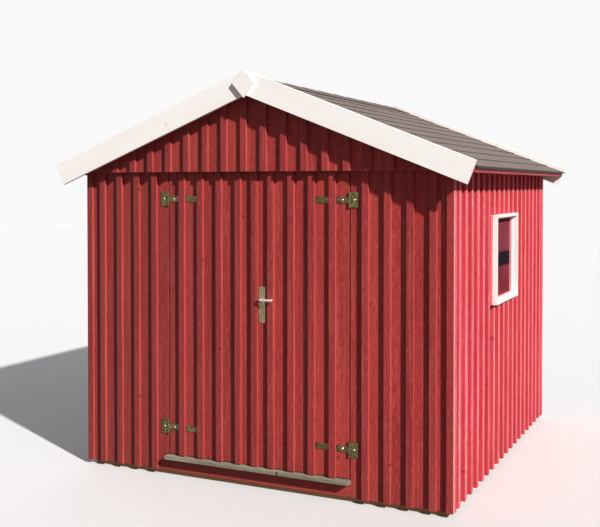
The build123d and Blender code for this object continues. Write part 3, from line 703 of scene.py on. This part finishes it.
cladding = {
    "batten": 0.045, "joint": 0.004, "edge": 0.0018, "foot": 0.030, "pitch": 0.141,
    "nailLevels": (0.072, 0.14, 0.62, 1.08, 1.54, 1.985), "gableNails": (2.07, 2.3, 2.52),
    "nail": (0.0032, 0.0016), "underRoof": 0.001, "nailUnderRoof": 0.02,
}
layers = {  # of each wall: the planes that its boards lie between, then its battens
    "front": ((-1.281, -1.259), (-1.303, -1.281)), "back": ((1.309, 1.331), (1.331, 1.353)),
    "frontGable": ((-1.325, -1.303), (-1.347, -1.325)), "backGable": ((1.353, 1.375), (1.375, 1.397)),
    "left": ((-1.286, -1.264), (-1.308, -1.286)), "right": ((1.264, 1.286), (1.286, 1.308)),
}
spans = {"front": (0.655, 1.286), "back": (-1.286, 1.286), "gable": (-1.308, 1.308), "side": (-1.259, 1.309)}
joints = {  # the first joint between boards along each wall, and how many there are
    "front": (0.757, 4), "back": (-1.128, 17), "gable": (-1.1815, 18), "side": (-1.1735, 18),
}
cornerEdges = {"end": 1.308, "side": (-1.281, 1.331)}


def centres(wallName):
    first, count = joints[wallName]
    return [first + cladding["pitch"] * i for i in range(count)]


def upright(facing, along, through, levels):
    # a timber standing in a wall, whose faces look along X or along Y
    if facing == "Y":
        return slab((along[0], through[0], levels[0]), (along[1], through[1], levels[1]))
    return slab((through[0], along[0], levels[0]), (through[1], along[1], levels[1]))


def wallBoards(facing, span, through, levels, seams):
    # boards side by side from one joint to the next
    gap = cladding["joint"] / 2
    edges = [span[0]] + [j for j in seams if span[0] < j < span[1]] + [span[1]]
    return [upright(facing, (low + gap * (low > span[0]), high - gap * (high < span[1])), through, levels)
            for low, high in zip(edges, edges[1:])]


def battensOver(facing, seams, through, levels):
    half = cladding["batten"] / 2
    return [upright(facing, (j - half, j + half), through, levels) for j in seams]


def nailPlaces(facing, seams, face, levels):
    return [(j, face, level) if facing == "Y" else (face, j, level) for j in seams for level in levels]


def wall(name, facing, outward, span, rows, levels, seams, cornerBattens, stands, paints, seed,
         roof=noRoof, cuts=(), nailLevels=cladding["nailLevels"]):
    # a clad wall: its boards, its battens, the battens at its corners, and their nails
    direction = (0.0, outward, 0.0) if facing == "Y" else (outward, 0.0, 0.0)
    boardRows, battenRows = rows
    timbers = {
        "boards": wallBoards(facing, span, boardRows, levels, seams),
        "battens": battensOver(facing, seams, battenRows, levels),
        "corners": battensOver(facing, cornerBattens, battenRows, levels),
    }
    for number, (part, row) in enumerate(timbers.items()):
        if not row:
            continue
        made = blockMesh(row, paints[number], seed + number, roof=roof)
        if cuts and part != "corners":
            made = cutAway(made, cuts)
            followGrain(made, seed + number)
        markInner(made, direction, part != "boards")
        placePiece(name + "_" + part, made, paints[number], stands, cladding["edge"])
    face = battenRows[0] if outward < 0 else battenRows[1]
    places = nailPlaces(facing, seams, face, nailLevels)
    axis = 0 if facing == "Y" else 1
    for low, high in cuts:
        places = [p for p in places if not (low[axis] < p[axis] < high[axis] and low[2] < p[2] < high[2])]
    if roof[1]:
        places = [p for p in places if p[2] < roof[0] - roof[1] * abs(p[0]) - cladding["nailUnderRoof"]]
    domedHeads(name + "_nails", places, direction, cladding["nail"], paints[1], seed + 3)


slope = math.radians(21.5)
roofLine = {"height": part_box("front_gable_cladding")[1].z, "slope": math.tan(slope)}
underRoof = (roofLine["height"] - cladding["underRoof"], roofLine["slope"])
redPaints = (redPaint, battenPaint, battenPaint)
paleCornerPaints = (redPaint, battenPaint, paleEdgeCornerPaint)
fadedPaints = (fadedPaint, fadedBattenPaint, fadedBattenPaint)


def makeEndWalls():
    levels = (cladding["foot"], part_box("back_cladding")[1].z)
    gableLevels = tuple(corner.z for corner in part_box("front_gable_cladding"))
    corner = cornerEdges["end"] - cladding["batten"] / 2
    for side, hand, paints in ((-1, "left", redPaints), (1, "right", paleCornerPaints)):
        wall("front_" + hand, "Y", -1.0, sorted(side * x for x in spans["front"]), layers["front"], levels,
             sorted(side * x for x in centres("front")), [side * corner], ["front_cladding_" + hand], paints,
             20 + 10 * side)
    wall("back_wall", "Y", 1.0, spans["back"], layers["back"], levels, centres("back"), [-corner, corner],
         ["back_cladding"], redPaints, 40)
    for name, outward, seed in (("front", -1.0, 50), ("back", 1.0, 60)):
        wall(name + "_gable", "Y", outward, spans["gable"], layers[name + "Gable"], gableLevels,
             centres("gable"), [], [name + "_gable_cladding"], redPaints, seed, underRoof,
             nailLevels=cladding["gableNails"])


besideWindow = {
    "clear": 0.0005,  # between the frame and the cladding cut away for it
    "through": (1.25, 1.32),  # X
    "rearGap": 0.0075,  # from the frame to the short batten behind it
}


def makeSideWalls():
    levels = (cladding["foot"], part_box("left_cladding")[1].z)
    half = cladding["batten"] / 2
    sideCorners = [cornerEdges["side"][0] + half, cornerEdges["side"][1] - half]
    wall("left_wall", "X", -1.0, spans["side"], layers["left"], levels, centres("side"), sideCorners,
         ["left_cladding"], redPaints, 70)
    low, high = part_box("window_frame")
    clear, through = besideWindow["clear"], besideWindow["through"]
    opening = ((through[0], low.y - clear, low.z - clear), (through[1], high.y + clear, high.z + clear))
    panels = ["right_cladding_" + part for part in ("front", "rear", "over_window", "under_window")]
    wall("right_wall", "X", 1.0, spans["side"], layers["right"], levels, centres("side"), sideCorners,
         panels, fadedPaints, 80, cuts=[opening])
    rear = high.y + besideWindow["rearGap"]
    rows = [upright("X", along, layers["right"][1], (low.z, high.z))
            for along in ((low.y - clear - 2 * half, low.y - clear), (rear, rear + 2 * half))]
    made = blockMesh(rows, fadedBattenPaint, 89)
    markInner(made, (1.0, 0.0, 0.0), True)
    placePiece("window_side_battens", made, fadedBattenPaint, bevel=cladding["edge"])


makeEndWalls()
makeSideWalls()
print("walls clad")


# Floor, frame and roof timbers

bareNodes = ["sill_beams", "floor_joists", "bottom_plates", "top_plates", "side_wall_studs", "end_wall_studs",
             "window_trimmers", "ridge_board", "rafters", "tie_beams", "eave_blocks", "gable_studs",
             "gable_furring", "left_door_ledges", "right_door_ledges"]
for number, nodeName in enumerate(bareNodes):
    easeNode(nodeName, bareTimber, 100 + number)
easeNode("threshold", weatheredTimber, 120)
for nodeName, seed in (("gable_diamonds", 134), ("front_bargeboards", 131), ("back_bargeboards", 132)):
    easeNode(nodeName, whitePaint, seed, easing["white"])
for nodeName, seed in (("window_frame", 135), ("window_trim", 136)):
    trim = easeNode(nodeName, trimPaint, seed, easing["window"])
    # the faces toward +X take the dimmer white: painted shade on the sunlit faces
    markInner(trim.data, (-1.0, 0.0, 0.0))
easeNode("door_apron", redPaint, 140)
easeNode("eave_fascias", shadedEavePaint, 141)

floor = {"width": 0.095, "joint": 0.002, "levels": (0.095, 0.117), "eased": 0.0012}
roofBoards = {"width": 0.095, "joint": 0.003, "thickness": 0.020, "setback": 0.0005, "eased": 0.001}


def makeFloor():
    low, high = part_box("floor_boards")
    count = round((high.x - low.x) / floor["width"])
    pitch = (high.x - low.x) / count
    gap = floor["joint"] / 2
    slabs = [slab((low.x + pitch * i + gap, low.y, floor["levels"][0]),
                  (low.x + pitch * (i + 1) - gap, high.y, floor["levels"][1])) for i in range(count)]
    made = blockMesh(slabs, bareTimber, 150, sawn["even"])
    placePiece("floor_boarding", made, stands=["floor_boards"], bevel=floor["eased"])


def onSlope(side, run, y, raised):
    # a point at a distance down the slope from the ridge, raised square to the deck's underside
    x = run * math.cos(slope) + raised * math.sin(slope)
    return side * x, y, roofLine["height"] + raised * math.cos(slope) - run * math.sin(slope)


def slopeLength(eave, raised):
    # down the slope from the ridge to where a point raised off the deck's underside meets the eave
    return (eave - raised * math.sin(slope)) / math.cos(slope)


def onDeck(side, ends, across, bottom, thickness):
    # a flat sheet on one slope, between two runs down it, turned to lie along it
    low, high = across
    middle = onSlope(side, sum(ends) / 2, (low + high) / 2, bottom + thickness / 2)
    size = (ends[1] - ends[0], high - low, thickness)
    return middle, size, (0.0, side * slope, 0.0)


def makeRoofBoards():
    low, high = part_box("roof_deck")
    thickness, gap = roofBoards["thickness"], roofBoards["joint"] / 2
    length = slopeLength(high.x - roofBoards["setback"], thickness)
    count = round(length / roofBoards["width"])
    pitch = length / count
    slabs = [onDeck(side, (pitch * i + gap, pitch * (i + 1) - gap), (low.y, high.y), 0.0, thickness)
             for side in (-1, 1) for i in range(count)]
    made = blockMesh(slabs, bareTimber, 160, sawn["even"])
    placePiece("roof_boarding", made, stands=["roof_deck"], bevel=roofBoards["eased"])


makeFloor()
makeRoofBoards()
print("frame, floor and roof boards finished")


# Felt: tabs in courses, and the ridge pieces over them

felt = {
    "lap": 0.020, "tab": 0.3333, "slot": 0.004, "thickness": 0.0026, "tilt": math.radians(1.337),
    "raise": 0.0030, "footHeight": 0.0266, "setback": 0.0002, "shortestTab": 0.02, "nearRidge": 0.003,
    "underlay": 0.0016, "underlaySetback": 0.006, "sharp": 20,
    "lip": {"drop": 0.004, "rise": 0.0015, "setback": (0.0033, 0.0007)},
}
cap = {
    "count": 10, "reach": 0.125, "lap": 0.030, "thickness": 0.0022, "overDeck": 0.0066, "tilt": 0.0026,
    "apexDrop": 0.0004,
}


def feltCoordinates(mesh, seed):
    # texture coordinates, the run down the slope, a tone for each tab, and a mark on every edge face
    chance = np.random.default_rng(seed)
    co = vertexPlaces(mesh)
    label = islandOfVertices(mesh)
    run = np.abs(co[:, 0]) / math.cos(slope)
    tone = np.zeros(len(co))
    for part in np.unique(label):
        tone[label == part] = chance.random()
    writeAttribute(mesh, "grain", "POINT", np.stack([run, co[:, 1], co[:, 0] > 0], 1))
    writeAttribute(mesh, "run", "POINT", run)
    writeAttribute(mesh, "tone", "POINT", tone)
    writeAttribute(mesh, "edge", "FACE", [abs(face.normal.z) < 0.7 for face in mesh.polygons])


def feltTab(side, foot, near, far):
    # one tab, its head under the course above and its foot on the course below
    head = max(foot - feltLook["exposure"] - felt["lap"], felt["nearRidge"])
    run = (foot + head) / 2
    raised = roofBoards["thickness"] + felt["raise"] - felt["thickness"] / 2
    lift = math.tan(felt["tilt"]) * (run - (foot - feltLook["exposure"]))
    middle = onSlope(side, run, (near + far) / 2, raised + lift)
    size = (foot - head, far - near, felt["thickness"])
    return middle, size, (0.0, side * (slope - felt["tilt"]), 0.0)


def makeFelt():
    # on each slope: the courses of tabs, an underlay below their slots, and a lip along the eave
    low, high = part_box("roof_felt")
    length = slopeLength(high.x - felt["setback"], felt["footHeight"])
    lip, gap = felt["lip"], felt["slot"] / 2
    slabs = []
    for side in (-1, 1):
        for course in range(math.ceil(length / feltLook["exposure"])):
            foot = length - feltLook["exposure"] * course
            start = low.y - (felt["tab"] / 2 if course % 2 else 0.0)
            for i in range(math.ceil((high.y - start) / felt["tab"])):
                near = max(start + felt["tab"] * i + gap, low.y)
                far = min(start + felt["tab"] * (i + 1) - gap, high.y)
                if far - near >= felt["shortestTab"]:
                    slabs.append(feltTab(side, foot, near, far))
        ends = (felt["underlaySetback"] / 2, length - felt["underlaySetback"] / 2)
        slabs.append(onDeck(side, ends, (low.y, high.y), roofBoards["thickness"], felt["underlay"]))
        level = onSlope(side, length, low.y, roofBoards["thickness"])[2]
        inner, outer = (side * (high.x - setback) for setback in lip["setback"])
        slabs.append(slab((inner, low.y, level - lip["drop"]), (outer, high.y, level + lip["rise"])))
    made = blockMesh(slabs, roofFelt, 170, 0.0)
    feltCoordinates(made, 170)
    placePiece("felt_tabs", made, stands=["roof_felt"], smoothBelow=felt["sharp"])


def makeRidgeCap():
    # bent pieces along the ridge, each with its near end on the one before
    low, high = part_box("ridge_cap")
    pitch = (high.y - low.y - cap["lap"]) / cap["count"]
    base = roofBoards["thickness"] + cap["overDeck"]
    work = bmesh.new()
    for i in range(cap["count"]):
        ends = []
        for y, rise in ((low.y + pitch * i, cap["tilt"]), (low.y + pitch * (i + 1) + cap["lap"], 0.0)):
            ring = []
            for raised in (base + rise, base + rise + cap["thickness"]):
                feet = [onSlope(side, cap["reach"], y, raised) for side in (-1, 1)]
                apex = (0.0, y, roofLine["height"] + raised / math.cos(slope) - cap["apexDrop"])
                ring.append([feet[0], apex, feet[1]])
            ends.append([work.verts.new(p) for p in ring[0] + ring[1][::-1]])
        for k in range(6):
            work.faces.new((ends[0][k], ends[0][(k + 1) % 6], ends[1][(k + 1) % 6], ends[1][k]))
        for ring in ends:
            work.faces.new((ring[0], ring[1], ring[4], ring[5]))
            work.faces.new((ring[1], ring[2], ring[3], ring[4]))
    bmesh.ops.recalc_face_normals(work, faces=work.faces)
    made = bpy.data.meshes.new("cap")
    work.to_mesh(made)
    work.free()
    feltCoordinates(made, 180)
    placePiece("ridge_cap_pieces", made, roofFelt, ["ridge_cap"], smoothBelow=felt["sharp"])


makeFelt()
makeRidgeCap()
print("roof covered")


# Door leaves

leaf = {
    "levels": (0.145, 2.020), "planks": (-1.281, -1.264), "battens": (-1.303, -1.281),
    "joints": (0.118, 0.259, 0.400, 0.541), "outer": 0.647, "meeting": 0.0225, "gap": 0.008,
    "straps": (0.328, 1.851), "nailLevels": (0.22, 0.72, 1.02, 1.45, 1.94),
    "housing": {"x": (0.400, 0.66), "y": (-1.2861, -1.2800), "half": 0.020},
}
lock = {
    "x": 0.0485, "spindle": 1.216, "spindleHole": (0.008, 0.06), "spindleMiddle": -1.2725,
    "keyhole": 1.130, "keyholeHole": (0.005, 0.02), "keyholeMiddle": -1.280,
    "slotHalf": 0.003, "slotDrop": 0.015, "slotDepth": (-1.29, -1.270),
    "screw": (0.0035, 0.0012), "screwReach": 0.017, "screwLevels": (1.285, 1.075),
    "outerFace": -1.284, "innerFace": -1.261, "eased": 0.0006,
}
forward = (0.0, -1.0, 0.0)


def atStraps(side, cut):
    # a box to cut away at each strap of one leaf
    near, far = (side * x for x in cut["x"])
    front, back = cut["y"]
    return [((near, front, z - cut["half"]), (far, back, z + cut["half"])) for z in leaf["straps"]]


def lockHoles():
    # the slot of the keyhole, then the round holes of the spindle and the keyhole: middle, radius, length
    x, level = lock["x"], lock["keyhole"]
    front, back = lock["slotDepth"]
    slot = ((x - lock["slotHalf"], front, level - lock["slotDrop"]), (x + lock["slotHalf"], back, level))
    return [slot], [((x, lock["spindleMiddle"], lock["spindle"]), *lock["spindleHole"]),
                    ((x, lock["keyholeMiddle"], level), *lock["keyholeHole"])]


def makeLeaf(side, body):
    seams = sorted(side * j for j in leaf["joints"])
    inner = -leaf["meeting"] if side > 0 else -leaf["meeting"] - leaf["gap"]
    span = sorted((inner, side * leaf["outer"]))
    planks = blockMesh(wallBoards("Y", span, leaf["planks"], leaf["levels"], seams), redPaint,
                       200 + 10 * side, sawn["even"])
    covers = battensOver("Y", seams, leaf["battens"], leaf["levels"])
    if side > 0:
        covers += battensOver("Y", [0.0], leaf["battens"], leaf["levels"])
        planks = cutAway(planks, *lockHoles())
        followGrain(planks, 210)
    battens = blockMesh(covers, battenPaint, 201 + 10 * side, sawn["even"])
    battens = cutAway(battens, atStraps(side, leaf["housing"]))
    followGrain(battens, 201 + 10 * side)
    markInner(planks, forward)
    markInner(battens, forward, True)
    for name, made in (("_planks", planks), ("_battens", battens)):
        placePiece(body + name, made, None, [body + "_boards"], cladding["edge"], body=body)
    places = nailPlaces("Y", seams, leaf["battens"][0], leaf["nailLevels"])
    domedHeads(body + "_nails", places, forward, cladding["nail"], battenPaint, 220 + side, body)


makeLeaf(-1, "left_door")
makeLeaf(1, "right_door")
print("door leaves made")


# Hinges, lock and lever

hinge = {
    "strapBolt": 0.605, "plateBolt": 0.683, "bolt": (0.0072, 0.0042), "screw": (0.0040, 0.0012),
    "screwLift": 0.036, "face": -1.285,
    "groove": {"x": (0.6640, 0.6670), "y": (-1.3, -1.2830), "half": 0.013}, "eased": 0.0005,
}


def makeHinges():
    # the wall plates have a groove beside each middle knuckle
    grooves = atStraps(-1, hinge["groove"]) + atStraps(1, hinge["groove"])
    plates = cutAway(mergedCopy("wall_hinge_plates"), grooves)
    placePiece("hinge_plates", plates, hingeZinc, ["wall_hinge_plates"],
               hinge["eased"], easing["metalSharp"])
    places = [(side * hinge["plateBolt"], hinge["face"], z) for side in (-1, 1) for z in leaf["straps"]]
    domedHeads("plate_bolts", places, forward, hinge["bolt"], boltZinc, 240)
    places = [(x, y, z + lift) for x, y, z in places for lift in (-hinge["screwLift"], hinge["screwLift"])]
    domedHeads("plate_screws", places, forward, hinge["screw"], hingeZinc, 242)
    for side, body in ((-1, "left_door"), (1, "right_door")):
        easeNode(body + "_straps", hingeZinc, 241, hinge["eased"], easing["metalSharp"])
        bolts = [(side * hinge["strapBolt"], hinge["face"], z) for z in leaf["straps"]]
        domedHeads(body + "_bolts", bolts, forward, hinge["bolt"], boltZinc, 243, body)


def makeLock():
    easeNode("lock_plates", lockSteel, 250, lock["eased"], easing["metalSharp"])
    easeNode("lever", leverSteel, 251, 0.0, easing["leverSharp"])
    for name, outward in (("outer", -1.0), ("inner", 1.0)):
        places = [(lock["x"] + reach, lock[name + "Face"], level) for level in lock["screwLevels"]
                  for reach in (-lock["screwReach"], lock["screwReach"])]
        domedHeads(name + "_lock_screws", places, (0.0, outward, 0.0), lock["screw"],
                   lockSteel, 252, "right_door")


makeHinges()
makeLock()
print("ironwork finished")


# Window

bead = {"width": 0.009, "depth": 0.016, "eased": 0.0015, "loss": 0.0004}
paneEased = 0.0006


def makeWindow():
    # the pane, and a bead round its outer face
    placePiece("pane", mergedCopy("window_pane"), windowGlass, ["window_pane"], paneEased)
    low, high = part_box("window_pane")
    width = bead["width"]
    across, inside = (low.y, high.y), (low.z + width, high.z - width)
    sides = [(across, (low.z, low.z + width)), (across, (high.z - width, high.z)),
             ((low.y, low.y + width), inside), ((high.y - width, high.y), inside)]
    rows = [slab((high.x, y[0], z[0]), (high.x + bead["depth"], y[1], z[1])) for y, z in sides]
    made = blockMesh(rows, beadPaint, 260, bead["loss"])
    placePiece("glazing_beads", made, bevel=bead["eased"])


makeWindow()
print("window glazed")


# Floor, lamps and camera

def seenDirectly(graph):
    # 1 for the camera's rays and what they mirror or pass through, 0 for the rays that carry light
    path = graph.add("ShaderNodeLightPath", None, "Is Camera Ray")
    mirrored = path.math("MAXIMUM", path.other("Is Glossy Ray"))
    return mirrored.math("MAXIMUM", path.other("Is Transmission Ray"))


stage = {"size": 30.0, "pale": (0.645, 0.645, 0.65, 1.0), "bounce": (0.12, 0.117, 0.113, 1.0)}


def makeStage():
    material, graph = newMaterial("studio_floor")
    coat(graph, graph.mix(seenDirectly(graph), stage["bounce"], stage["pale"]), 0.9)
    half = stage["size"]
    mesh = bpy.data.meshes.new("studio_floor")
    rim = [(-half, -half, 0), (half, -half, 0), (half, half, 0), (-half, half, 0)]
    mesh.from_pydata(rim, [], [(0, 1, 2, 3)])
    mesh.materials.append(material)
    newObject("studio_floor", mesh)


lamps = {
    "sun": {
        "direction": (-0.7494, 0.3903, -0.5348), "energy": 6.25, "angle": 1.5, "tint": (1.0, 0.975, 0.945)},
    "soft": {
        "direction": (0.5, -0.6, -0.62), "energy": 0.8, "angle": 80.0, "tint": (0.96, 0.98, 1.0)},
    "side": {
        "direction": (-0.96, 0.1, -0.26), "energy": 0.3, "angle": 80.0, "tint": (1.0, 0.98, 0.96)},
}
skyLook = {"fill": (0.148, 0.152, 0.165, 1.0), "background": (0.95, 0.95, 0.95, 1.0)}


def makeLight():
    for name, look in lamps.items():
        lamp = bpy.data.lights.new(name, "SUN")
        lamp.energy, lamp.angle, lamp.color = look["energy"], math.radians(look["angle"]), look["tint"]
        newObject(name, lamp).rotation_euler = Vector(look["direction"]).to_track_quat("-Z", "Y").to_euler()
    world = bpy.data.worlds.new("soft_sky")
    world.use_nodes = True
    graph = Graph(world.node_tree)
    sky = graph.mix(seenDirectly(graph), skyLook["fill"], skyLook["background"])
    surface = graph.add("ShaderNodeBackground", {"Color": sky, "Strength": 1.0})
    graph.add("ShaderNodeOutputWorld", {"Surface": surface})
    bpy.context.scene.world = world


view = {
    "place": (2.8116, -6.5742, 1.9368), "turn": (88.863, 0.0, 25.245), "lens": 56.41, "sensor": 36.0,
    "shift": -0.0985,
}


def makeCamera():
    camera = newObject("camera", bpy.data.cameras.new("camera"))
    camera.location = view["place"]
    camera.rotation_euler = [math.radians(v) for v in view["turn"]]
    camera.data.lens, camera.data.sensor_width = view["lens"], view["sensor"]
    camera.data.shift_y = view["shift"]
    bpy.context.scene.camera = camera


makeStage()
makeLight()
makeCamera()
bpy.context.scene.view_settings.view_transform = "Standard"
print("stage, light and camera set")
